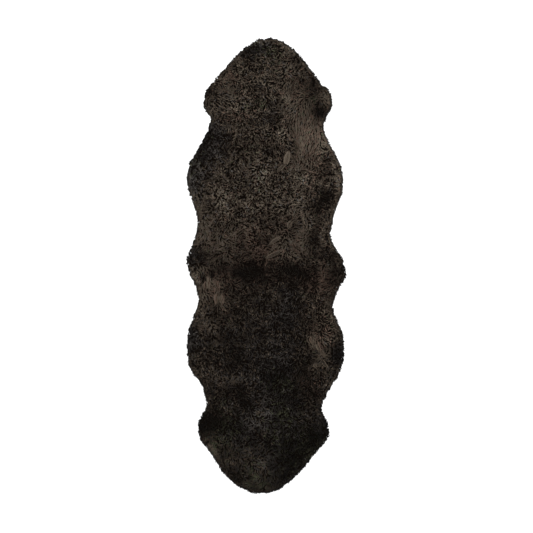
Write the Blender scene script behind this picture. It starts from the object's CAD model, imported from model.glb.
"""The looks of a double sheepskin rug: curly dark brown fleece over two suede hides, sewn rump to rump.

Lengths are in metres in the rug's own frame: +Y runs up the spine towards the far skin's neck, +X to the
right, +Z up out of the wool, with the origin on the floor under the middle of the rug.
"""

from collections import namedtuple
from math import pi, sqrt, tau

import bmesh
import bpy
import numpy as np
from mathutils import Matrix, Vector, noise
from mathutils.bvhtree import BVHTree


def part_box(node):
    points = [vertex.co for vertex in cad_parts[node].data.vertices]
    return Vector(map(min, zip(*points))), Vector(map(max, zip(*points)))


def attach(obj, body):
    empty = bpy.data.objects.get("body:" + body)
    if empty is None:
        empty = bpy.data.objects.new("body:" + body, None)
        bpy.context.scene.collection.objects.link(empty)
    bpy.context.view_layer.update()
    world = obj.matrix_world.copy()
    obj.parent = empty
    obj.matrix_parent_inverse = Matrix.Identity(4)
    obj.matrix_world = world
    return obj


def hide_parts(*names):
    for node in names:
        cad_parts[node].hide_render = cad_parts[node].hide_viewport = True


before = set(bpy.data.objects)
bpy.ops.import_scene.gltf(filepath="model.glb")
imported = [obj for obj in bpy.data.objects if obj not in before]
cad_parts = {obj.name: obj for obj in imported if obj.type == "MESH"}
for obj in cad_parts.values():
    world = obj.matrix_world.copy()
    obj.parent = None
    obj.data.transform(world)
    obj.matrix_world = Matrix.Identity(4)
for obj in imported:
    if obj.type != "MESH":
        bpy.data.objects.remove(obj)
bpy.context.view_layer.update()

MM = 0.001
SEED = 20

# The picture: its 533 pixels span 2.106 m at the rug, seen from straight above. Its middle lies a little to
# the right of the rug's and below it
FRAME_PIXELS = 533
PIXEL = 3.952 * MM
OFF_MIDDLE = (0.6 * PIXEL, -0.78 * PIXEL)
LENS = 70.0
SENSOR = 36.0

# The fleece, and its felted depths under the locks
FLEECE_UNDER = 2.3 * MM  # its underside, on the leather
WOOL_DEPTH = 0.74  # the depths' height, as a share of the whole fleece's
DEPTHS_IN = 0.12  # how far their rim draws in, as a share of how far it stands out past the felted edge
RUFFLE = 1.6 * MM  # how far they rise and fall at most
RUFFLE_WIDTH = 11 * MM

# Locks
LOCK_PITCH = 6.6 * MM
ROOT_SCATTER = 0.42  # of that pitch, to each side
ROOT_UNDER = 5 * MM  # how far under the depths' top a lock starts
ROOT_LOWEST = 2.5 * MM
LOCK_SIDES = 3
LOCK_SHAPE = (0.72, 0.96, 1.0, 0.98, 0.90, 0.68, 0.0)  # girth from root to tip
LOCK_RINGS = len(LOCK_SHAPE)
LOCK_GIRTH = (1.3, 2.15)  # mm, half its thickness
STRAIGHT_GIRTH = 0.35  # mm, how much thicker it is where it lies straight
LOCK_TURNS = (1.0, 1.6)
# Each as a range where the wool coils and another where it lies straight
LOCK_REACH = ((8, 15), (12, 20))  # mm, along the skin
LOCK_LIFT = ((0.62, 1.16), (0.80, 1.02))  # of the height from the root to the fleece's top
LOCK_LOOP = ((2.0, 3.6), (0.4, 1.1))  # mm, half its coil's width
CRIMP = 0.12  # how much lighter a lock is on the crests of its crimp, and darker between them
CRIMP_LEAST = 0.3  # of that, in the least crimped lock

# The rim, where locks grow out of the fleece's felted edge as well, in rows one over another
RIM_REACH = 11.1 * MM  # how far the wool stands out past the edge
RIM_SCATTER = (-1.6, 0.8)  # mm, from lock to lock
STRAYS = 0.05  # the share of locks that stray
STRAY_REACH = 3.5  # mm further
RIM_LEAN = 20 * MM  # within this of the edge, locks lean out over it
FACE_LEAN = 0.6  # how strongly they do
EDGE_LEAN = 1.3  # and those in the edge
LIE_LOST = 0.4  # how much of its own lie a lock loses there
RIM_TIERS = (3 * MM, 6 * MM, 9 * MM, 12.5 * MM)  # the rows' heights
RIM_PITCH = 4.6 * MM
RIM_INSET = 2.5  # mm in from the edge, where its locks start
RIM_LONGER = 0.8  # how much longer a lock in the edge is
FACE_LONGER = 0.15  # and one that leans out over it
RIM_CREST = 3 * MM  # how far over its root a lock in the edge crests
RIM_TOP = 15 * MM  # how high up the rim the wool has its full colour
LOW_ROW = 4 * MM  # locks that grow lower than this are thicker, to close the rim
LOW_GIRTH = 1.5
RIM_SHADE = 0.58  # how much darker the wool is at the very rim
SHADE_IN = 3 * MM  # how far inside the edge that starts
SHADE_FULL = 0.6  # and at which share of a lock's reach it is in full
FACE_INSET = 1.5 * MM  # how near the edge locks still grow on the face
RIM_TWIN = 3  # how near each of them, in mm, a second one grows
ROUND_IN = 8 * MM  # how far inside the edge the fleece starts to round down to the floor
ROUND_OUT = 1.5 * MM  # how far past the longest locks it would meet it
ROUND_OVER = 2 * MM  # how far over that round locks may stand
HELD = 6  # how suddenly a lock is held back at the rim: 1 is softly
LEAST_HEIGHT = 0.3  # of the fleece's, for the colours at the rim
OFF_FLOOR = 0.2 * MM

# The seam, where the wool parts
SEAM_PART = 9 * MM  # how near it
SEAM_LEAN = 0.45  # how strongly the locks lean away from it
SEAM_OVERLAP = 0.4 * MM  # how far the felted depths reach past it

# What the wool shows
CRISP = 0.92  # how deep the gaps between curls show
EVEN_SHOWN = 0.66  # how high all of a lock seems to stand where the wool is felted even
TUFT_SHOWN = 0.85  # and in a flat tuft
CREST_OVER = 1.5 * MM  # how far over the fleece's top a lock has its full colour
LOCK_SCATTER = 0.105  # how much one lock's tone differs from the next one's
HUE_SCATTER = 0.38  # and its hue
TUFT_SCATTER = 0.5  # of that, in a flat tuft
OLIVE_FROM = 0.9  # how green a lock has to be to count as olive

# Felted wool: how much it takes from the tones' scatter, the crimp and the gaps, how far it lifts the roots
# towards the crests, and how straight its locks lie
FELTED_TONE = 0.85
FELTED_CRIMP = 0.9
FELTED_GAPS = 0.9
FELTED_LIFT = 0.45
FELTED_LIE = 0.65
STRAIGHT_EVEN = 0.6  # how even the wool is where it is brushed straight
EVEN_LIMITS = (-0.9, 1)  # the least and the most that patches may add up to

# Layers of noise: how strong, how wide, and each in its own place in the noise
NOISE_SPREAD = 1.8  # brings smooth noise to about -1 to 1
SWIRLS = ((2.6, 70 * MM, 7.0), (1.2, 24 * MM, 1.0))  # radians that the wool turns
MOTTLE = ((0.10, 26 * MM, 3.0), (0.05, 11 * MM, 4.0), (0.07, 55 * MM, 6.0))  # of tone
RIM_WANDER = ((3.12, 20 * MM, 5.0), (3.9, 8 * MM, 8.0))  # mm that the rim stands out more or less

# How the wool lies: radians from lock to lock, where it curls and where it is brushed, and how much of its
# swirls brushing leaves
LIE_SCATTER = 0.35
BRUSHED_SCATTER = 0.12
BRUSHED_SWIRL = 0.18
BRUSHED_CORE = 1.6  # widens the fully brushed middle of a patch

# How light the wool is, from 0 to 1, away from its patches
FAR_TONE = 0.54
NEAR_TONE = 0.33
SEAM_SOFT = 14  # mm over which the far skin's tone turns to the near one's
# Where it does, in mm beyond the seam, and its waves: how far, how wide, and where they start
SEAM_TONE = 10
SEAM_WAVES = ((8, 55, 0), (5, 23, 1))

# Patches, in millimetres: the middle, how far each reaches across and along, and how much it adds there of
# what its table is for
Patch = namedtuple("Patch", "place x y across along amount")


def rows(kind, *given):
    """A table's rows, with their columns named."""
    return [kind(*row) for row in given]


# Where the wool is lighter, above 0, or darker, below 0
LIGHTER = rows(
    Patch,
    ("poll, dark", -58, 842, 42, 24, -0.42),
    ("poll, right", 60, 842, 36, 22, -0.12),
    ("right neck rim", 135, 800, 24, 40, -0.18),
    ("left neck rim", -150, 795, 26, 60, -0.26),
    ("neck, spine", 0, 800, 18, 34, 0.10),
    ("neck, upper", 30, 842, 40, 22, 0.12),
    ("neck, lower", 0, 716, 36, 30, 0.16),
    ("neck, left of spine", -98, 762, 26, 24, 0.16),
    ("neck, right", 84, 768, 36, 28, 0.22),
    ("neck, left", -150, 738, 34, 30, 0.12),
    ("left shoulder", -108, 614, 32, 34, 0.28),
    ("left shoulder, fore", -160, 672, 30, 34, 0.20),
    ("spine, neck", -24, 764, 22, 18, -0.10),
    ("left foreleg", -218, 690, 18, 36, -0.22),
    ("left foreleg rim", -242, 640, 16, 60, -0.30),
    ("spine, shoulder", -35, 690, 26, 40, -0.10),
    ("right shoulder", 75, 690, 24, 46, 0.16),
    ("right shoulder, fore", 140, 722, 22, 20, -0.22),
    ("right foreleg, upper", 188, 700, 28, 36, -0.42),
    ("right foreleg, hollow", 214, 612, 25, 22, -0.70),
    ("right foreleg rim", 240, 668, 14, 34, 0.22),
    ("spine, withers", 20, 590, 20, 40, -0.18),
    ("withers, brushed flat", 172, 500, 62, 78, 0.38),
    ("right elbow rim", 226, 468, 22, 50, 0.30),
    ("shoulder, brushed flat", 122, 632, 36, 60, 0.24),
    ("shoulder, spine side", 70, 622, 18, 20, -0.16),
    ("behind the elbow", 158, 425, 18, 24, -0.12),
    ("left elbow", -212, 505, 44, 56, -0.32),
    ("left girth rim", -250, 475, 24, 60, -0.20),
    ("left belly rim, hind end", -312, 320, 22, 100, -0.20),
    ("left girth, dark spot", -164, 452, 24, 32, -0.26),
    ("left belly rim", -254, 422, 40, 34, -0.38),
    ("left belly rim, middle", -262, 362, 22, 30, 0.14),
    ("left ribs", -82, 480, 40, 30, -0.18),
    ("left withers", -172, 564, 22, 28, -0.14),
    ("left withers, lower", -140, 520, 20, 18, 0.24),
    ("withers, left of spine", -60, 560, 26, 22, -0.18),
    ("ribs, right of spine", 66, 522, 26, 24, 0.42),
    ("right ribs", 112, 462, 18, 26, -0.18),
    ("spine, ribs", 18, 455, 30, 22, -0.24),
    ("spine, belly", -18, 376, 26, 56, 0.38),
    ("belly, left of spine", -85, 330, 40, 20, -0.06),
    ("right side, upper", 146, 350, 44, 38, 0.30),
    ("right belly, hollow", 236, 390, 12, 50, -0.22),
    ("right rim, behind elbow", 272, 350, 24, 60, 0.26),
    ("loin", 28, 282, 20, 24, 0.28),
    ("loin, right", 60, 240, 18, 16, 0.12),
    ("spine, loin, dark", 0, 246, 20, 14, -0.22),
    ("loin, left", -56, 236, 40, 24, 0.30),
    ("left belly", -172, 260, 30, 40, 0.46),
    ("left flank", -105, 215, 22, 22, -0.12),
    ("left flank rim", -240, 150, 26, 60, 0.10),
    ("right side", 120, 250, 44, 60, 0.18),
    ("right flank, hollow", 240, 268, 26, 30, -0.50),
    ("right flank", 208, 228, 24, 50, -0.30),
    ("right hip", 154, 142, 28, 50, 0.17),
    ("right hip, spine side", 108, 156, 26, 26, -0.14),
    ("spine, loin", 0, 175, 52, 38, -0.16),
    ("spine, rump", 12, 104, 34, 40, -0.20),
    ("rump, left of spine", -75, 82, 44, 16, -0.14),
    ("rump, left, dark", -118, 38, 38, 18, -0.22),
    ("rump, right, dark", 142, 42, 26, 20, -0.20),
    ("rump, right", 85, 92, 34, 22, 0.12),
    ("rump, at the seam", 96, 44, 32, 14, 0.24),
    ("rump, left", -178, 95, 34, 40, 0.10),
    ("right stifle", 192, 105, 20, 44, -0.34),
    ("right haunch", 256, 42, 50, 34, -0.36),
    ("left haunch", -262, 42, 56, 26, -0.38),
    ("left haunch, at the seam", -262, 2, 40, 14, 0.12),
    ("seam pit, left", -60, -14, 52, 36, -0.46),
    ("seam pit, spine", 0, -40, 50, 34, -0.22),
    ("seam pit, right", 110, -14, 54, 30, -0.38),
    ("seam pit, far left", -160, -6, 40, 20, -0.16),
    ("near left haunch", -268, -45, 34, 36, 0.36),
    ("near left rump", -190, -40, 40, 32, 0.24),
    ("near left haunch, hollow", -247, -46, 9, 14, -0.55),
    ("near left haunch, middle hollow", -210, -30, 8, 11, -0.50),
    ("near left haunch, inner hollow", -185, -31, 8, 11, -0.55),
    ("near left stifle", -224, -104, 42, 46, 0.24),
    ("near left flank", -176, -142, 20, 26, 0.28),
    ("near left flank rim", -262, -160, 18, 50, 0.24),
    ("near left belly", -224, -236, 32, 36, 0.32),
    ("near loin, right", 108, -160, 30, 30, -0.10),
    ("near spine, loin", 60, -140, 50, 40, 0.08),
    ("near right haunch", 226, -40, 22, 34, 0.26),
    ("near right haunch rim", 278, -40, 22, 34, -0.12),
    ("near right stifle", 200, -130, 40, 48, 0.22),
    ("near right flank", 240, -215, 34, 52, 0.20),
    ("near right belly, fore", 242, -284, 34, 34, 0.32),
    ("near right belly", 192, -292, 28, 32, 0.36),
    ("near right belly, lower", 222, -368, 24, 44, 0.24),
    ("near right belly rim", 284, -348, 20, 36, -0.32),
    ("near left belly rim", -258, -322, 30, 34, 0.12),
    ("near left belly, dark", -142, -350, 30, 60, -0.14),
    ("near left belly, inner", -172, -280, 26, 24, -0.24),
    ("near rump, left of spine", -60, -110, 40, 60, -0.06),
    ("near rump, right", 130, -64, 34, 28, -0.22),
    ("near spine, belly", 30, -340, 50, 16, 0.10),
    ("near right side, dark", 124, -420, 56, 80, -0.14),
    ("near right ribs", 240, -450, 20, 60, 0.08),
    ("near right ribs, dark", 190, -500, 34, 44, -0.16),
    ("near left ribs", -186, -448, 22, 46, 0.16),
    ("near left ribs rim", -248, -415, 14, 28, 0.28),
    ("near left girth", -216, -486, 22, 24, -0.18),
    ("near spine, ribs", -90, -440, 56, 20, 0.32),
    ("near ribs, dark", -122, -492, 44, 22, -0.32),
    ("near withers, dark", -84, -540, 26, 16, -0.26),
    ("near withers", -34, -604, 70, 40, 0.32),
    ("near left foreleg", -224, -612, 44, 36, -0.74),
    ("near left shoulder, dark", -112, -612, 34, 40, -0.30),
    ("near withers, right, dark", 60, -614, 28, 24, -0.22),
    ("near belly, left of spine", -100, -284, 24, 20, -0.18),
    ("near belly, right, dark", 80, -220, 40, 30, -0.16),
    ("near girth, right, dark", 110, -520, 50, 26, -0.22),
    ("near girth, spine, dark", 14, -430, 50, 40, -0.24),
    ("near belly, left, dark", -100, -380, 30, 60, -0.16),
    ("near right shoulder", 145, -596, 18, 40, 0.18),
    ("near right foreleg", 190, -672, 46, 46, -0.36),
    ("near left shoulder rim", -212, -724, 30, 40, 0.40),
    ("near neck, left", -85, -760, 56, 26, 0.16),
    ("near neck, spine", 0, -715, 30, 18, -0.14),
    ("near right neck", 115, -750, 66, 76, -0.26),
    ("near left neck rim", -122, -838, 36, 20, -0.28),
    ("near neck, spine, light", -20, -782, 30, 28, 0.26),
    ("near poll", -34, -826, 32, 34, 0.20),
    ("near poll, dark", 50, -835, 30, 30, -0.18),
)

# Where the wool lies brushed straight: which way in degrees (-90 is down the spine) and how straight
Brushed = namedtuple("Brushed", "place x y across along way straight")
BRUSHED = rows(
    Brushed,
    ("withers", 165, 550, 60, 110, -94, 0.95),
    ("shoulder", 100, 660, 34, 60, -82, 0.6),
    ("behind the whorl", 135, 430, 34, 50, -100, 0.6),
    ("left shoulder", -150, 700, 40, 50, -60, 0.35),
    ("right side", 145, 150, 34, 80, -96, 0.5),
    ("rump, right of spine", 30, 75, 44, 26, -145, 0.5),
    ("near left haunch", -225, -80, 50, 60, -78, 0.45),
    ("near left stifle", -185, -135, 30, 36, -110, 0.5),
    ("near right haunch", 235, -60, 34, 60, -98, 0.5),
    ("near right belly", 205, -330, 40, 80, -100, 0.55),
)

# Where the wool is felted even, above 0, and where its curls are crisp and deep, below 0
EVEN = rows(
    Patch,
    ("left shoulder", -165, 735, 44, 44, 0.7),
    ("right shoulder", 110, 700, 70, 44, 0.5),
    ("neck, spine", 50, 790, 40, 30, 0.3),
    ("right foreleg", 225, 650, 40, 60, 0.6),
    ("left flank rim", -245, 140, 40, 60, 0.6),
    ("left hip", -190, 75, 54, 54, 0.7),
    ("withers", 155, 540, 44, 60, 0.6),
    ("right hip", 132, 118, 52, 84, 0.95),
    ("at the seam, left", -150, -6, 120, 40, 0.95),
    ("near left stifle", -200, -110, 50, 70, 0.4),
    ("near left belly", -228, -238, 26, 34, 0.6),
    ("near right haunch", 250, -50, 50, 60, 0.6),
    ("near belly, left", -135, -296, 80, 26, 0.45),
    ("near right belly", 215, -310, 50, 60, 0.3),
    ("near right side", 140, -440, 26, 44, 0.8),
    ("near left ribs", -150, -460, 60, 30, 0.6),
    ("near left foreleg", -240, -660, 40, 40, 0.4),
    ("near right foreleg", 205, -650, 40, 40, 0.6),
    ("near neck, left", -150, -750, 80, 60, 0.7),
    ("near neck, right", 60, -780, 70, 60, 0.8),
    ("near poll", -20, -860, 90, 40, 0.9),
    ("left side", -185, 400, 64, 66, -0.8),
    ("left belly rim", -240, 430, 40, 40, -0.3),
    ("spine, ribs", 12, 434, 50, 42, -0.8),
    ("shoulder, spine", -60, 610, 40, 60, -0.3),
    ("near rump, right", 150, -60, 34, 60, -0.5),
    ("near loin, right", 128, -228, 64, 76, -0.8),
    ("near belly, left of spine", -145, -342, 60, 26, -0.6),
    ("neck, right", 100, 780, 44, 50, 0.4),
    ("left shoulder, lower", -185, 668, 40, 30, 0.35),
    ("left belly, hind end", -245, 265, 50, 70, 0.3),
    ("left hip, spine side", -115, 110, 60, 60, 0.4),
    ("at the seam, right", 100, 8, 54, 28, 0.4),
    ("right haunch", 262, 10, 40, 34, 0.35),
    ("near belly, upper", -100, -240, 90, 26, 0.3),
    ("right belly, hollow", 222, 350, 34, 40, 0.35),
    ("belly, left of spine", -64, 356, 32, 24, 0.45),
    ("near withers", -20, -615, 54, 44, 0.3),
    ("near withers, right", 155, -575, 54, 40, 0.4),
    ("near left shoulder rim", -190, -705, 40, 36, 0.5),
    ("near right shoulder", 105, -692, 48, 36, 0.4),
    ("near neck", -50, -770, 66, 50, 0.4),
    ("left girth", -188, 545, 46, 40, -0.7),
    ("near ribs, left of spine", -80, -540, 40, 30, -0.5),
    ("near left elbow", -200, -588, 36, 30, -0.5),
    ("near neck, left rim", -125, -842, 34, 24, -0.5),
    ("near neck, right rim", 125, -792, 34, 34, -0.5),
    ("near belly, left rim side", -195, -288, 40, 48, 0.35),
    ("near rump, left", -85, -62, 44, 30, 0.4),
)

# Where the wool is redder, above 0, or greyer, below 0
REDDER = rows(
    Patch,
    ("left elbow", -235, 490, 64, 84, -1.6),
    ("left belly rim", -290, 360, 44, 70, -1.2),
    ("poll", -50, 856, 50, 30, -1.3),
    ("right shoulder", 130, 700, 60, 40, 0.5),
    ("left shoulder, upper", -130, 740, 50, 26, 0.6),
    ("left shoulder, lower", -120, 592, 50, 24, 0.7),
    ("spine, withers", 10, 600, 34, 50, -0.4),
    ("right elbow", 200, 400, 50, 60, 0.4),
    ("withers, brushed", 165, 520, 64, 100, 0.5),
    ("left haunch rim", -296, 30, 34, 34, -1.0),
    ("rump", 0, 130, 240, 80, 0.3),
    ("spine at the seam", -30, 40, 90, 70, 0.8),
    ("near rump", 40, -50, 190, 60, 0.35),
    ("near skin", 0, -460, 260, 420, -0.42),
    ("near spine", 0, -540, 110, 330, -0.32),
    ("near left haunch", -160, -30, 60, 40, 0.6),
    ("near right haunch", 200, -60, 80, 60, 0.9),
    ("near left stifle", -205, -100, 50, 60, 0.5),
    ("near left loin", -140, -170, 60, 50, 0.5),
    ("near loin", 80, -210, 40, 40, -1.0),
    ("near rump, right", 90, -120, 44, 50, -0.8),
    ("near belly, left", -130, -270, 30, 40, -0.4),
    ("near right flank", 210, -260, 60, 90, 0.6),
    ("near left belly rim", -300, -290, 34, 60, -1.4),
    ("near right belly rim", 290, -350, 26, 50, -1.1),
    ("near belly, right", 56, -440, 50, 90, -1.3),
    ("near right side", 150, -440, 40, 50, 0.8),
    ("near right ribs", 200, -500, 30, 50, 0.5),
    ("near withers, left", -110, -498, 50, 20, 0.8),
    ("near ribs", 70, -580, 50, 70, -1.1),
    ("near left foreleg", -190, -620, 30, 50, 0.5),
    ("near left shoulder", -100, -645, 60, 44, -1.7),
    ("near right foreleg", 222, -650, 40, 50, -1.2),
    ("near neck, right", 90, -740, 60, 110, -1.4),
)

# Where the wool is greener
GREENER = rows(
    Patch,
    ("neck", 10, 830, 80, 50, 0.8),
    ("spine, shoulder", -15, 640, 36, 30, 1.0),
    ("right foreleg", 185, 660, 34, 24, 0.5),
    ("left belly rim", -290, 440, 60, 110, 0.7),
    ("left of spine, ribs", -60, 450, 40, 30, 0.4),
    ("near right side", 60, -460, 54, 50, 1.3),
    ("near ribs", 70, -570, 54, 50, 1.2),
    ("near left shoulder", -145, -620, 80, 70, 0.95),
    ("near withers", 40, -680, 70, 60, 0.8),
    ("near left side", -170, -520, 30, 40, 0.5),
    ("near neck", -60, -790, 60, 60, 0.5),
    ("near left belly", -215, -320, 30, 24, 0.6),
    ("near neck, right", 100, -780, 60, 60, 0.9),
    ("near right belly rim", 285, -400, 36, 60, 0.4),
    ("near left foreleg", -190, -700, 60, 80, 0.75),
    ("near right foreleg", 180, -700, 70, 80, 1.15),
    ("near poll", -40, -850, 100, 50, 0.75),
)

# Flat tufts of smooth wool on top of the curls, in millimetres: root and tip, half the width, the tone, and
# how loose they lie
Tuft = namedtuple("Tuft", "place x y tip_x tip_y half tone loose")
TUFTS = rows(
    Tuft,
    ("leaf-shaped, right of spine", 77, 398, 92, 455, 10.5, 0.78, 0.15),
    ("under the leaf", 76, 398, 42, 370, 6, 0.70, 0.6),
    ("withers", 122, 572, 126, 505, 5, 0.66, 1),
    ("rump, lower", 60, 60, -12, 26, 8, 0.66, 0.7),
    ("rump, middle", 46, 86, 6, 50, 5, 0.62, 1),
    ("rump, upper", 56, 112, 2, 78, 6, 0.74, 0.7),
    ("right hip", 101, 178, 80, 138, 8, 0.66, 1),
    ("near left haunch", -236, -64, -243, -102, 7, 0.60, 1),
    ("near left haunch, inner", -224, -44, -228, -110, 6, 0.68, 1),
    ("near left stifle", -194, -62, -180, -104, 8, 0.68, 1),
    ("near left flank", -194, -104, -196, -158, 8, 0.62, 1),
    ("near left flank, inner", -176, -112, -172, -160, 6, 0.62, 1),
    ("near right belly", 178, -278, 188, -322, 7, 0.66, 1),
    ("near right belly, middle", 198, -300, 214, -344, 7, 0.66, 1),
    ("near right belly, rim", 214, -332, 238, -362, 6, 0.62, 1),
    ("near right side", 190, -380, 202, -412, 6, 0.60, 1),
    ("near right ribs", 223, -376, 246, -408, 6, 0.60, 1),
)
TUFT_PITCH = 1.4  # mm from lock to lock
TUFT_GIRTH = (1.1, 1.8)  # mm
TUFT_START = (-0.1, 0.22)  # where a loose tuft's locks start, as a share of its length
TUFT_END = (-0.3, 0.06)  # and how far from its tip they end
TUFT_WAVE = 1.2  # mm
TUFT_HEIGHT = (-1.6, 0.8)  # mm, from lock to lock
TUFT_ARCH = 1.4  # mm, along it
TUFT_CROWN = 1.2  # mm, across it
TUFT_CREASE = 0.18  # how much darker it is down its middle
TUFT_ROUND = 30 * MM  # how far round its root the fleece's height counts
TUFT_TONE = (0.02, 0.1)  # from lock to lock, in a tight tuft and what a loose one adds


def linear(hexcode):
    """An sRGB colour such as 3A2F27 as linear red, green, blue and alpha."""
    parts = [int(hexcode[i : i + 2], 16) / 255 for i in (0, 2, 4)]
    return [p / 12.92 if p <= 0.04045 else ((p + 0.055) / 1.055) ** 2.4 for p in parts] + [1.0]


def add(tree, kind, inputs=(), stops=(), **settings):
    """Adds a node, its kind without ShaderNode. inputs maps a socket's name or number to a value, to the
    output that feeds it, or to a node whose first output does. stops are a ramp's places and colours."""
    node = tree.nodes.new("ShaderNode" + kind)
    for name, value in settings.items():
        setattr(node, name, value)
    for socket, value in dict(inputs).items():
        if isinstance(value, bpy.types.Node):
            value = value.outputs[0]
        if isinstance(value, bpy.types.NodeSocket):
            tree.links.new(value, node.inputs[socket])
        else:
            node.inputs[socket].default_value = value
    if stops:
        elements = node.color_ramp.elements
        while len(elements) < len(stops):
            elements.new(0.5)
        for element, (position, colour) in zip(elements, stops):
            element.position = position
            element.color = linear(colour)
    return node


def new_material(name):
    """A material and its node tree, still empty."""
    mat = bpy.data.materials.new(name)
    mat.use_nodes = True
    mat.node_tree.nodes.clear()
    return mat, mat.node_tree


# A lock's crest, from the darkest locks to the most bleached
LOCK_TONES = (
    (0.0, "0E0B08"),
    (0.12, "201B17"),
    (0.25, "332B25"),
    (0.38, "453D35"),
    (0.5, "574C42"),
    (0.62, "665B50"),
    (0.75, "766A5E"),
    (1.0, "95897A"),
)
# What tints it: grey, brown, reddish or olive wool, each in its own quarter of the map's U
LOCK_HUES = ((0.0, "CDDAEC"), (1 / 4, "E7E8E5"), (2 / 4, "F3E2E0"), (3 / 4, "D1EBD6"))
GREY, BROWN, REDDISH, OLIVE = range(4)
# How much of that colour shows, from the fleece's depths to its crests
LOCK_DEPTHS = ((0.0, "080808"), (0.35, "494949"), (0.62, "919191"), (0.85, "C8C8C8"), (1.0, "FFFFFF"))
LOCK_BAND = 0.03  # of the map's V, round one lock
FIBRES_ROUND = 12  # streaks round a lock
FIBRES_ALONG = 5  # streaks for the whole of the map's U


def wool_material():
    """Curly wool, as it grew. Each lock is a bundle of fibres with a soft lustre: nearly black deep in the
    fleece, brown and a little bleached where it crests. On the map, each quarter of U is one hue, and in it U
    is how high the wool stands. V is the lock's tone; round the lock V crosses its fibres, drawn about 1 mm
    wide so that they show."""
    mat, tree = new_material("curly_wool_locks")
    place = add(tree, "UVMap", uv_map="OFBake")
    split = add(tree, "SeparateXYZ", {"Vector": place})
    lock_tone = add(tree, "ValToRGB", {"Fac": split.outputs["Y"]}, LOCK_TONES)
    hue = add(tree, "ValToRGB", {"Fac": split.outputs["X"]}, LOCK_HUES)
    hue.color_ramp.interpolation = "CONSTANT"
    in_hue = add(tree, "Math", {0: split.outputs["X"], 1: len(LOCK_HUES)}, operation="MULTIPLY")
    height = add(tree, "Math", {0: in_hue}, operation="FRACT")
    depth = add(tree, "ValToRGB", {"Fac": height}, LOCK_DEPTHS)
    fibres = add(tree, "Mapping", {"Vector": place, "Scale": (FIBRES_ALONG, FIBRES_ROUND / LOCK_BAND, 1.0)})
    streak = add(tree, "TexNoise", {"Vector": fibres, "Scale": 1.0, "Detail": 2.0})
    light = add(
        tree, "MapRange", {"Value": streak, "From Min": 0.3, "From Max": 0.7, "To Min": 0.6, "To Max": 1.4}
    )
    shade = add(tree, "VectorMath", {0: lock_tone, 1: depth}, operation="MULTIPLY")
    tinted = add(tree, "VectorMath", {0: shade, 1: hue}, operation="MULTIPLY")
    colour = add(tree, "VectorMath", {0: tinted, "Scale": light}, operation="SCALE")
    bump = add(tree, "Bump", {"Strength": 0.35, "Distance": 0.3 * MM, "Height": streak})
    shader = add(
        tree,
        "BsdfPrincipled",
        {
            "Base Color": colour,
            "Roughness": 0.6,
            "IOR": 1.5,
            "Specular IOR Level": 0.034,
            "Sheen Weight": 0.02,
            "Sheen Roughness": 0.4,
            "Sheen Tint": linear("B9A48C"),
            "Normal": bump,
        },
    )
    add(tree, "OutputMaterial", {"Surface": shader})
    return mat


def depths_material():
    """The felted depths of the fleece: matt and nearly black, in tufts of fibre ends about 6 mm wide."""
    mat, tree = new_material("felted_wool_depths")
    place = add(tree, "TexCoord").outputs["Object"]
    tufts = add(tree, "TexNoise", {"Vector": place, "Scale": 160.0, "Detail": 3.0})
    colour = add(tree, "ValToRGB", {"Fac": tufts}, ((0.3, "020101"), (0.7, "0A0704")))
    bump = add(tree, "Bump", {"Strength": 0.8, "Distance": 2 * MM, "Height": tufts})
    shader = add(
        tree,
        "BsdfPrincipled",
        {"Base Color": colour, "Roughness": 0.9, "Specular IOR Level": 0.02, "Normal": bump},
    )
    add(tree, "OutputMaterial", {"Surface": shader})
    return mat


def suede_material():
    """The flesh side of tanned sheepskin, buffed to suede: a pale tan nap, matt with a soft sheen, in clouds
    of about 90 mm where the skin took the tan unevenly, and in strokes 17 mm wide and 50 mm long where
    handling laid the nap over. The nap is drawn 1 mm wide, coarser than the real one, so that it shows."""
    mat, tree = new_material("buffed_sheepskin_suede")
    place = add(tree, "TexCoord").outputs["Object"]
    clouds = add(tree, "TexNoise", {"Vector": place, "Scale": 11.0, "Detail": 4.0, "Roughness": 0.6})
    stroked = add(tree, "Mapping", {"Vector": place, "Scale": (1.0, 0.35, 1.0)})
    strokes = add(tree, "TexNoise", {"Vector": stroked, "Scale": 60.0, "Detail": 3.0, "Distortion": 1.2})
    nap = add(tree, "TexNoise", {"Vector": place, "Scale": 900.0, "Detail": 3.0})
    tan = add(tree, "ValToRGB", {"Fac": clouds}, ((0.28, "A08C75"), (0.5, "B5A28A"), (0.72, "C6B59E")))
    light = add(
        tree, "MapRange", {"Value": strokes, "From Min": 0.3, "From Max": 0.7, "To Min": 0.88, "To Max": 1.1}
    )
    grain = add(
        tree, "MapRange", {"Value": nap, "From Min": 0.3, "From Max": 0.7, "To Min": 0.9, "To Max": 1.08}
    )
    shade = add(tree, "Math", {0: light, 1: grain}, operation="MULTIPLY")
    colour = add(tree, "VectorMath", {0: tan, "Scale": shade}, operation="SCALE")
    bump = add(tree, "Bump", {"Strength": 0.5, "Distance": 0.4 * MM, "Height": nap})
    shader = add(
        tree,
        "BsdfPrincipled",
        {
            "Base Color": colour,
            "Roughness": 0.88,
            "Specular IOR Level": 0.25,
            "Sheen Weight": 0.35,
            "Sheen Roughness": 0.5,
            "Sheen Tint": linear("D8C8B0"),
            "Normal": bump,
        },
    )
    add(tree, "OutputMaterial", {"Surface": shader})
    return mat


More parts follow.
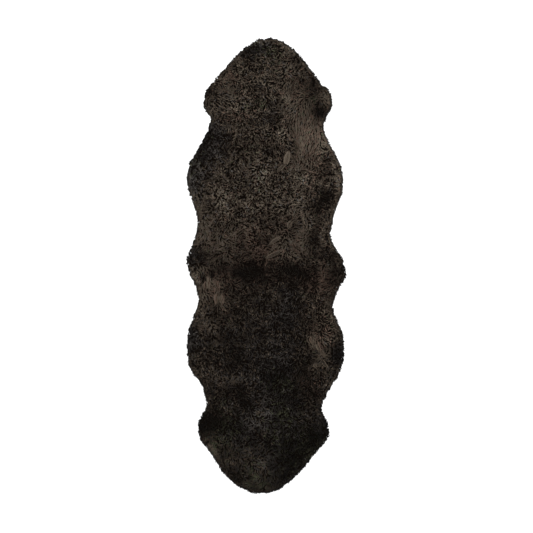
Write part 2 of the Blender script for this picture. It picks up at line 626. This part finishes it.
def thread_material():
    """Waxed linen thread: dark brown, its plies twisted, with the dull gloss of the wax."""
    mat, tree = new_material("waxed_linen_thread")
    place = add(tree, "UVMap", uv_map="OFBake")
    plies = add(
        tree, "TexWave", {"Vector": place, "Scale": 40.0, "Distortion": 1.0}, bands_direction="DIAGONAL"
    )
    colour = add(tree, "ValToRGB", {"Fac": plies.outputs["Fac"]}, ((0.2, "2A1E16"), (0.8, "5B4635")))
    shader = add(tree, "BsdfPrincipled", {"Base Color": colour, "Roughness": 0.45, "Specular IOR Level": 0.5})
    add(tree, "OutputMaterial", {"Surface": shader})
    return mat


def unit(v):
    """Vectors of length 1."""
    return v / np.maximum(np.linalg.norm(v, axis=-1, keepdims=True), 1e-9)


def noise_at(x, y, width, place):
    """Smooth noise of about -1 to 1 at these places."""
    return np.array([noise.noise((a / width, b / width, place)) for a, b in zip(x, y)]) * NOISE_SPREAD


def layered(layers, x, y):
    """What layers of noise add up to at these places."""
    return sum(strength * noise_at(x, y, width, place) for strength, width, place in layers)


def bell(x, y, patch):
    """1 in the middle of a patch, falling to 0 round it."""
    return np.exp(-(((x / MM - patch.x) / patch.across) ** 2) - ((y / MM - patch.y) / patch.along) ** 2)


def patched(table, x, y):
    """What a table's patches add up to at these places."""
    return sum(patch.amount * bell(x, y, patch) for patch in table)


def rug_tone(x, y):
    """How light the wool is at these places, from 0 to 1."""
    wave = sum(height * np.sin(x / MM / width + begin) for height, width, begin in SEAM_WAVES)
    far = 1 / (1 + np.exp(-(y / MM - SEAM_TONE - wave) / (SEAM_SOFT / 2)))
    return NEAR_TONE + (FAR_TONE - NEAR_TONE) * far + patched(LIGHTER, x, y)


def lie_of_wool(x, y, rng):
    """Which way the locks lie at these places, and how straight they are brushed, from 0 to 1. Away from the
    brushed patches they lie down the spine and swirl off it either way."""
    swirl = layered(SWIRLS, x, y)
    angle = -pi / 2 + swirl + rng.normal(0, LIE_SCATTER, len(x))
    way = np.stack([np.cos(angle), np.sin(angle)], 1)
    straight = np.zeros(len(x))
    for patch in BRUSHED:
        share = (patch.straight * np.clip(BRUSHED_CORE * bell(x, y, patch), 0, 1))[:, None]
        turn = np.radians(patch.way) + BRUSHED_SWIRL * swirl + rng.normal(0, BRUSHED_SCATTER, len(x))
        way = way * (1 - share) + np.stack([np.cos(turn), np.sin(turn)], 1) * share
        straight = np.maximum(straight, share[:, 0])
    return unit(way), straight


def welded(node):
    """A solid's mesh, its split points joined again."""
    bm = bmesh.new()
    bm.from_mesh(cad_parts[node].data)
    bmesh.ops.remove_doubles(bm, verts=bm.verts, dist=1e-6)
    return bm


def felted_edge(bm, seam):
    """The edge of the fleece's underside, but for the seam: each stretch's two ends and the way out."""
    under = {f for f in bm.faces if f.normal.z < -0.9 and f.calc_center_median().z > FLEECE_UNDER - 0.1 * MM}
    stretches = []
    for edge in bm.edges:
        inner = [f for f in edge.link_faces if f in under]
        a, b = (v.co.xy for v in edge.verts)
        if len(inner) != 1 or max(abs(a.y - seam), abs(b.y - seam)) < MM:
            continue
        out = Vector((b.y - a.y, a.x - b.x)).normalized()
        if out.dot((a + b) / 2 - inner[0].calc_center_median().xy) < 0:
            out.negate()
        stretches.append((*a, *b, *out))
    return np.array(stretches)


def beyond_edge(points, edge):
    """How far each flat point lies outside the felted edge (inside is negative), and the way out there. It
    takes up to 4,000 points at a time, to spare memory."""
    start, run, out = edge[:, 0:2], edge[:, 2:4] - edge[:, 0:2], edge[:, 4:6]
    far, ways = [], []
    for some in np.array_split(points, len(points) // 4000 + 1):
        rel = some[:, None, :] - start
        along = np.clip((rel * run).sum(2) / (run**2).sum(1), 0, 1)
        gap = rel - along[..., None] * run
        distance = np.linalg.norm(gap, axis=2)
        nearest = distance.argmin(1)
        pick = (np.arange(len(some)), nearest)
        side = np.where((gap[pick] * out[nearest]).sum(1) > 0, 1.0, -1.0)
        far.append(side * distance[pick])
        ways.append(out[nearest])
    return np.concatenate(far), np.concatenate(ways)


def place_object(me):
    """A mesh as an object in the scene, under its own name."""
    ob = bpy.data.objects.new(me.name, me)
    bpy.context.scene.collection.objects.link(ob)
    return ob


def make_mesh(name, verts, tris, uvs):
    """An object from arrays: points, triangles and each triangle's three places on the map."""
    me = bpy.data.meshes.new(name)
    me.vertices.add(len(verts))
    me.vertices.foreach_set("co", verts.astype(np.float32).ravel())
    me.loops.add(tris.size)
    me.loops.foreach_set("vertex_index", tris.astype(np.int32).ravel())
    me.polygons.add(len(tris))
    me.polygons.foreach_set("loop_start", np.arange(0, tris.size, 3, dtype=np.int32))
    me.update(calc_edges=True)
    me.uv_layers.new(name="OFBake").data.foreach_set("uv", uvs.astype(np.float32).ravel())
    me.shade_smooth()
    return place_object(me)


def tubes(centre, girth, sides):
    """Closed tubes round many lines at once. Returns their points, the triangles of one, and for each of its
    corners which ring it is on and how far round."""
    count, rings = girth.shape
    run = unit(np.gradient(centre, axis=1))
    # Any way that isn't the line's own will do to start
    across = unit(np.cross(run[:, 0], run[:, 0, [1, 2, 0]] + 0.1))
    frames = []
    for i in range(rings):
        across = unit(across - run[:, i] * (across * run[:, i]).sum(1, keepdims=True))
        frames.append(across)
    first = np.stack(frames, 1)
    second = np.cross(run, first)
    turn = tau * np.arange(sides) / sides
    body = (
        centre[:, :-1, None, :]
        + first[:, :-1, None, :] * (girth[:, :-1, None] * np.cos(turn))[..., None]
        + second[:, :-1, None, :] * (girth[:, :-1, None] * np.sin(turn))[..., None]
    )
    verts = np.concatenate([body.reshape(count, -1, 3), centre[:, -1:, :]], 1)

    faces, corners = [], []
    for i in range(rings - 2):
        for s in range(sides):
            q = (s + 1) % sides
            here, there = i * sides, (i + 1) * sides
            faces += [(here + s, here + q, there + q), (here + s, there + q, there + s)]
            corners += [((i, s), (i, s + 1), (i + 1, s + 1)), ((i, s), (i + 1, s + 1), (i + 1, s))]
    tip, last = (rings - 1) * sides, (rings - 2) * sides
    for s in range(sides):
        faces.append((last + s, last + (s + 1) % sides, tip))
        corners.append(((rings - 2, s), (rings - 2, s + 1), (rings - 1, s + 0.5)))
    for s in range(1, sides - 1):
        faces.append((0, s + 1, s))
        corners.append(((0, 0), (0, s + 1), (0, s)))
    return verts, np.array(faces), np.array(corners)


def top_roots(node, edge, rng):
    """Where the locks of one skin's face grow: x, y and the wool's top there."""
    low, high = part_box(node)
    ys = np.arange(low.y, high.y, LOCK_PITCH * sqrt(3) / 2)
    gx, gy = np.meshgrid(np.arange(low.x, high.x, LOCK_PITCH), ys)
    gx = gx + LOCK_PITCH / 2 * (np.arange(len(ys)) % 2)[:, None]
    spots = np.stack([gx.ravel(), gy.ravel()], 1)
    spots += rng.uniform(-ROOT_SCATTER, ROOT_SCATTER, spots.shape) * LOCK_PITCH
    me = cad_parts[node].data
    solid = BVHTree.FromPolygons([v.co.copy() for v in me.vertices], [tuple(p.vertices) for p in me.polygons])
    found = []
    for x, y in spots:
        hit = solid.ray_cast(Vector((x, y, 1.0)), Vector((0, 0, -1)))[0]
        if hit is not None:
            found.append((x, y, hit.z))
    found = np.array(found)
    out = beyond_edge(found[:, :2], edge)[0]
    inside = out < -FACE_INSET
    found, out = found[inside], out[inside]
    by_rim = found[out > -RIM_LEAN]
    twins = by_rim + rng.uniform(-RIM_TWIN, RIM_TWIN, by_rim.shape) * [MM, MM, 0]
    return np.concatenate([found, twins])


def rim_roots(edge, rng):
    """Where the locks in the felted edge grow: x, y and their height. Its stretches are taken in order, the
    left side's before the right's."""
    edge = edge[np.lexsort((edge[:, 1], edge[:, 0] > 0))]
    lengths = np.linalg.norm(edge[:, 2:4] - edge[:, 0:2], axis=1)
    ends = np.cumsum(lengths)
    count = int(ends[-1] / RIM_PITCH)
    spots = []
    for height in RIM_TIERS:
        far_round = (np.arange(count) + rng.uniform(0.1, 0.9, count)) * ends[-1] / count
        stretch = np.searchsorted(ends, far_round)
        along = ((ends[stretch] - far_round) / lengths[stretch])[:, None]
        place = edge[stretch, 0:2] * (1 - along) + edge[stretch, 2:4] * along
        place -= edge[stretch, 4:6] * RIM_INSET * MM
        spots.append(np.column_stack([place, np.full(count, height)]))
    return np.concatenate(spots)


def tuft_locks(skin, face, seam, rng):
    """One skin's flat tufts, each lock beside the next from root to tip: middle lines, girths and tones."""
    t = np.linspace(0, 1, LOCK_RINGS)[None, :]
    made = []
    for tuft in TUFTS:
        if (tuft.y * MM - seam) * skin.side < 0:
            continue
        root, tip = np.array([tuft.x, tuft.y]) * MM, np.array([tuft.tip_x, tuft.tip_y]) * MM
        crest = face[np.hypot(*(face[:, :2] - root).T) < TUFT_ROUND, 2].mean()
        run = tip - root
        across = np.array([-run[1], run[0]]) / np.linalg.norm(run)
        aside = np.linspace(-1, 1, max(3, int(tuft.half / TUFT_PITCH)))[:, None]
        count = aside.shape
        width = tuft.half * MM * (1 - np.clip((t - 0.4) / 0.6, -0.8, 1) ** 2) ** 0.8
        begun = rng.uniform(*TUFT_START, count) * tuft.loose
        done = 1 + rng.uniform(*TUFT_END, count) * tuft.loose
        along = begun + (done - begun) * t
        wave = TUFT_WAVE * tuft.loose * MM * np.sin(tau * (1.6 * along + rng.uniform(0, 0.5, count)))
        flat = root + run * along[..., None] + across * (aside * width + wave)[..., None]
        lie = rng.uniform(*TUFT_HEIGHT, count) * tuft.loose
        rise = crest + (lie + TUFT_ARCH * np.sin(pi * t) - TUFT_CROWN * aside**2) * MM
        girth = rng.uniform(*TUFT_GIRTH, count) * MM * np.array(LOCK_SHAPE)
        scatter = rng.normal(0, TUFT_TONE[0] + TUFT_TONE[1] * tuft.loose, count)
        tone = tuft.tone - TUFT_CREASE * (1 - aside**2) + scatter + 0 * t
        made.append((np.concatenate([flat, rise[..., None]], 2), girth, tone))
    return [np.concatenate(part) for part in zip(*made)]


def lock_lines(root, crest, lie, straight, longer, rng):
    """The middle lines and girths of locks: each rises out of the fleece, coils, and lies over to its tip.
    The coil opens over the first third of the lock and then narrows. The lock is highest shortly before its
    tip, which sinks a little."""
    n = len(root)
    straight = straight[:, None]

    def within(low, high):
        return rng.uniform(low, high, n)[:, None]

    def lying(ranges):
        coiled, brushed = (within(low, high) for low, high in ranges)
        return coiled * (1 - straight) + brushed * straight

    t = np.linspace(0, 1, LOCK_RINGS)[None, :]
    reach = lying(LOCK_REACH) * MM
    lift = (crest - root[:, 2])[:, None] * lying(LOCK_LIFT)
    loop = lying(LOCK_LOOP) * MM
    turns = within(*LOCK_TURNS)
    hand = np.where(rng.random(n) < 0.5, 1.0, -1.0)[:, None]
    phase = within(0, tau) + hand * turns * tau * t
    swell = loop * np.clip(t / 0.35, 0, 1) * (1 - 0.35 * t)
    aside, over = swell * np.cos(phase), swell * np.sin(phase)
    forward = reach * (1 + longer[:, None]) * t**1.3 + 0.6 * over
    up = lift * np.sin(0.62 * pi * t) - 1.5 * MM * t**3 + 0.7 * over
    flat = root[:, None, :2] + lie[:, None, :] * forward[..., None]
    flat = flat + np.stack([-lie[:, 1], lie[:, 0]], 1)[:, None, :] * aside[..., None]
    centre = np.concatenate([flat, (root[:, 2:3] + up)[..., None]], 2)
    girth = (within(*LOCK_GIRTH) + STRAIGHT_GIRTH * straight) * MM * np.array(LOCK_SHAPE)
    return centre, girth


def held_at_rim(centre, girth, crest, edge, rng):
    """Draws in what hangs out too far past the felted edge, and rounds it down to the floor. Returns what
    share of the fleece's height is left there, and how near it is to the very rim."""
    n, rings = girth.shape
    out, way = beyond_edge(centre[..., :2].reshape(-1, 2), edge)
    out, way = out.reshape(n, rings), way.reshape(n, rings, 2)
    wander = layered(RIM_WANDER, *centre[:, 0, :2].T)
    stray = np.where(rng.random(n) < STRAYS, STRAY_REACH, 0.0)
    most = RIM_REACH + (wander + stray + rng.uniform(*RIM_SCATTER, n)) * MM
    most = most[:, None] - girth
    past = np.maximum(out, 0) / most
    kept = np.where(out > 0, most * past / (1 + past**HELD) ** (1 / HELD), out)
    centre[..., :2] -= way * (out - kept)[..., None]
    round_off = np.clip((kept + ROUND_IN) / (most + ROUND_IN + ROUND_OUT), 0, 1)
    fall = np.sqrt(1 - round_off**2)
    ceiling = (crest[:, None] + ROUND_OVER) * fall
    centre[..., 2] = np.where(kept > -ROUND_IN, np.minimum(centre[..., 2], ceiling), centre[..., 2])
    centre[..., 2] = np.maximum(centre[..., 2], girth + OFF_FLOOR)
    at_rim = np.clip((kept + SHADE_IN) / (SHADE_FULL * most + SHADE_IN), 0, 1)
    return np.maximum(fall, LEAST_HEIGHT), at_rim


def fleece_locks(skin, seam, edge, rng):
    """One skin's locks: points, triangles, map places and where along the rug each grows."""
    face = top_roots("wool_" + skin.name, edge, rng)
    rim = rim_roots(edge, rng)
    x, y = np.concatenate([face[:, :2], rim[:, :2]]).T
    n, on_face = len(x), np.arange(len(x)) < len(face)
    out, way_out = beyond_edge(np.stack([x, y], 1), edge)
    crest = np.concatenate([face[:, 2], rim[:, 2] + RIM_CREST])
    height = np.concatenate([np.maximum(WOOL_DEPTH * face[:, 2] - ROOT_UNDER, ROOT_LOWEST), rim[:, 2]])
    root = np.stack([x, y, height], 1)

    lie, straight = lie_of_wool(x, y, rng)
    lean = np.where(on_face, np.clip(1 + out / RIM_LEAN, 0, 1), 1.0)[:, None]
    outward = way_out * np.where(on_face, FACE_LEAN, EDGE_LEAN)[:, None] * lean
    lie = unit(lie * (1 - LIE_LOST * lean) + outward)
    parting = np.exp(-np.abs(y - seam) / SEAM_PART)[:, None]
    lie = unit(lie + np.array([0.0, skin.side]) * SEAM_LEAN * parting)
    even = np.clip(np.maximum(patched(EVEN, x, y), STRAIGHT_EVEN * straight), *EVEN_LIMITS)
    root[:, 2] += FELTED_LIFT * np.maximum(even, 0) * np.where(on_face, crest - height, 0.0)
    combed = np.maximum(straight, FELTED_LIE * even) * (1 - lean[:, 0])
    longer = np.where(on_face, FACE_LONGER * lean[:, 0], RIM_LONGER)
    centre, girth = lock_lines(root, crest, lie, combed, longer, rng)
    girth *= np.where(height < LOW_ROW, LOW_GIRTH, 1.0)[:, None]
    fall, at_rim = held_at_rim(centre, girth, crest, edge, rng)

    scatter = rng.normal(0, 1, n) * LOCK_SCATTER * (1 - FELTED_TONE * even)
    tone = rug_tone(x, y) + layered(MOTTLE, x, y) + scatter
    crimp = CRIMP * rng.uniform(CRIMP_LEAST, 1, n) * (1 - FELTED_CRIMP * even)
    tones = tone[:, None] + crimp[:, None] * np.where(np.arange(LOCK_RINGS) % 2, 1, -1)
    top = np.where(on_face, crest + CREST_OVER, RIM_TOP)[:, None]
    low = np.where(on_face, height, 0.0)[:, None]
    shown = (centre[..., 2] / fall - low) / (top - low)
    shown = EVEN_SHOWN + (shown - EVEN_SHOWN) * (CRISP - FELTED_GAPS * even[:, None])
    shown = shown * (1 - RIM_SHADE * at_rim)

    tuft_centre, tuft_girth, tuft_tones = tuft_locks(skin, face, seam, rng)
    centre = np.concatenate([centre, tuft_centre])
    girth = np.concatenate([girth, tuft_girth])
    tones = np.concatenate([tones, tuft_tones])
    shown = np.concatenate([shown, np.full(tuft_tones.shape, TUFT_SHOWN)])
    x, y = centre[:, 0, 0], centre[:, 0, 1]
    n = len(x)
    varied = rng.normal(0, HUE_SCATTER, n)
    varied[n - len(tuft_centre) :] *= TUFT_SCATTER
    hue = np.clip(np.round(BROWN + patched(REDDER, x, y) + varied), GREY, REDDISH)
    hue[patched(GREENER, x, y) + rng.normal(0, HUE_SCATTER, n) > OLIVE_FROM] = OLIVE
    verts, faces, corners = tubes(centre, girth, LOCK_SIDES)
    rings = corners[..., 0].astype(int)
    uvs = np.empty((n,) + corners.shape)
    uvs[..., 0] = ((hue[:, None] + np.clip(shown, 0.02, 0.98)) / len(LOCK_HUES))[:, rings]
    round_it = corners[..., 1] / LOCK_SIDES * LOCK_BAND
    uvs[..., 1] = np.clip(tones, 0.01, 0.96)[:, rings] * (1 - LOCK_BAND) + round_it
    return verts, faces, uvs, y


def wool_pieces(skin, seam, edge, mat, rng):
    """The locks of one skin, as one piece for each stretch along it."""
    verts, faces, uvs, y = fleece_locks(skin, seam, edge, rng)
    pieces = []
    for part, low, high in skin.cuts:
        some = np.flatnonzero((y >= low) & (y < high))
        tris = faces[None] + (np.arange(len(some)) * verts.shape[1])[:, None, None]
        name = f"locks_{skin.name}_{part}"
        piece = make_mesh(name, verts[some].reshape(-1, 3), tris.reshape(-1, 3), uvs[some].reshape(-1, 2))
        piece.data.materials.append(mat)
        pieces.append(piece)
    return pieces


def felted_depths(skin, bm, seam, edge, mat):
    """The felted depths under the locks, from the solid's own form: lower, ruffled, and drawn in at the rim.
    At the seam each skin's reach a little past it, so that no gap shows."""
    upper = {e for f in bm.faces if f.normal.z > 0.3 for e in f.edges}
    bmesh.ops.subdivide_edges(bm, edges=list(upper), cuts=1, use_grid_fill=True)
    bmesh.ops.triangulate(bm, faces=bm.faces)
    bm.verts.ensure_lookup_table()
    out, way = beyond_edge(np.array([v.co.xy for v in bm.verts]), edge)
    for vert, past, away in zip(bm.verts, out, way):
        if past > 0.5 * MM:
            vert.co.xy -= Vector(away) * past * DEPTHS_IN
        if vert.co.z > FLEECE_UNDER + 0.1 * MM:
            ruffle = noise.noise(vert.co / RUFFLE_WIDTH) * RUFFLE
            vert.co.z = FLEECE_UNDER + (vert.co.z - FLEECE_UNDER) * WOOL_DEPTH + ruffle
        if abs(vert.co.y - seam) < 0.5 * MM:
            vert.co.y = seam - skin.side * SEAM_OVERLAP
    me = bpy.data.meshes.new("depths_" + skin.name)
    bm.to_mesh(me)
    me.materials.append(mat)
    me.shade_smooth()
    return place_object(me)


# The seam: overcast stitches through both leather edges
STITCH_PITCH = 6 * MM
STITCH_BITE = 4.5 * MM  # how far from the edges the needle goes through
STITCH_RISE = 1.15 * MM  # from the middle of the leather
STITCH_SQUARE = 0.35  # how square the thread turns: 1 is a plain wave
STITCH_STEPS = 16
THREAD_RADIUS = 0.4 * MM
THREAD_SIDES = 5
SEAM_INSET = 24 * MM  # how far short of the hides' widest the stitches stop
HIDE_THICK = 2 * MM


def squared(wave):
    """A wave with flatter crests and steeper sides."""
    return np.sign(wave) * np.abs(wave) ** STITCH_SQUARE


def seam_thread(seam, mat):
    """One thread that winds over both leather edges, up through one and down through the other."""
    half = min(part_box("hide_far")[1].x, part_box("hide_near")[1].x) - SEAM_INSET
    turns = int(2 * half / STITCH_PITCH)
    phase = np.linspace(0, tau * turns, turns * STITCH_STEPS + 1)
    x = -half + STITCH_PITCH * phase / tau
    y = seam + STITCH_BITE * squared(np.cos(phase))
    z = HIDE_THICK / 2 + STITCH_RISE * squared(np.sin(phase))
    centre = np.stack([x, y, z], 1)[None]
    girth = np.full((1, len(phase)), THREAD_RADIUS)
    verts, faces, corners = tubes(centre, girth, THREAD_SIDES)
    uvs = corners / np.array([len(phase), THREAD_SIDES])
    piece = make_mesh("seam_thread", verts[0], faces, uvs.reshape(-1, 2))
    piece.data.materials.append(mat)
    return piece


FLOOR_DROP = 0.6 * MM  # so that the floor clears the stitches under the leather


def stage():
    """A plain pale floor, bright enough of itself to show white round the rug, without a shadow."""
    bpy.ops.mesh.primitive_plane_add(size=14, location=(0, 0, -FLOOR_DROP))
    floor = bpy.context.object
    floor.name = "floor"
    mat, tree = new_material("white_studio_floor")
    shader = add(
        tree,
        "BsdfPrincipled",
        {
            "Base Color": linear("808080"),
            "Roughness": 0.8,
            "Emission Color": (1, 1, 1, 1),
            "Emission Strength": 0.85,
        },
    )
    add(tree, "OutputMaterial", {"Surface": shader})
    floor.data.materials.append(mat)


def softbox(name, size, power, place):
    """A round light that faces the rug."""
    data = bpy.data.lights.new(name, "AREA")
    data.shape = "DISK"
    data.size = size
    data.energy = power
    lamp = bpy.data.objects.new(name, data)
    lamp.location = place
    lamp.rotation_euler = (-Vector(place)).to_track_quat("-Z", "Y").to_euler()
    bpy.context.scene.collection.objects.link(lamp)


def studio():
    """Soft light from a white room, a lamp nearly overhead and a larger, weaker one right of the near end."""
    world = bpy.data.worlds.new("studio")
    world.use_nodes = True
    back = world.node_tree.nodes["Background"]
    back.inputs["Color"].default_value = (1, 1, 1, 1)
    back.inputs["Strength"].default_value = 0.7
    bpy.context.scene.world = world
    softbox("key softbox", 1.0, 165, (-0.6, 0.7, 3.1))
    softbox("fill softbox", 2.0, 44, (2.2, -1.6, 2.4))


def camera():
    """Straight above the rug, so high that the picture's frame spans what it does in the photograph."""
    data = bpy.data.cameras.new("camera")
    data.lens = LENS
    data.sensor_width = SENSOR
    data.clip_end = 100
    cam = bpy.data.objects.new("camera", data)
    cam.location = (*OFF_MIDDLE, FRAME_PIXELS * PIXEL * LENS / SENSOR)
    bpy.context.scene.collection.objects.link(cam)
    bpy.context.scene.camera = cam


# Each skin: which way it runs from the seam, the parts its wool is cut into and where along the rug they
# start and end, and its leather's width, length and area as it lies flat
Skin = namedtuple("Skin", "name side cuts flat")
SKINS = rows(
    Skin,
    ("far", 1, (("rump", -1, 0.26), ("belly", 0.26, 0.50), ("neck", 0.50, 1)), (0.578, 0.870, 0.391)),
    ("near", -1, (("neck", -1, -0.50), ("belly", -0.50, -0.26), ("rump", -0.26, 1)), (0.586, 0.883, 0.408)),
)


def main():
    rng = np.random.default_rng(SEED)
    wool, deep, suede = wool_material(), depths_material(), suede_material()
    seam = (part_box("hide_far")[0].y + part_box("hide_near")[1].y) / 2
    thread = seam_thread(seam, thread_material())
    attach(thread, "root")
    for skin in SKINS:
        node = "wool_" + skin.name
        bm = welded(node)
        edge = felted_edge(bm, seam)
        pieces = [felted_depths(skin, bm, seam, edge, deep)]
        bm.free()
        pieces += wool_pieces(skin, seam, edge, wool, rng)
        for piece in pieces:
            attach(piece, "root")
            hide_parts(node)
        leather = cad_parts["hide_" + skin.name]
        leather.data.materials.clear()
        leather.data.materials.append(suede)
    stage()
    studio()
    camera()
    bpy.context.scene.view_settings.view_transform = "Standard"


main()
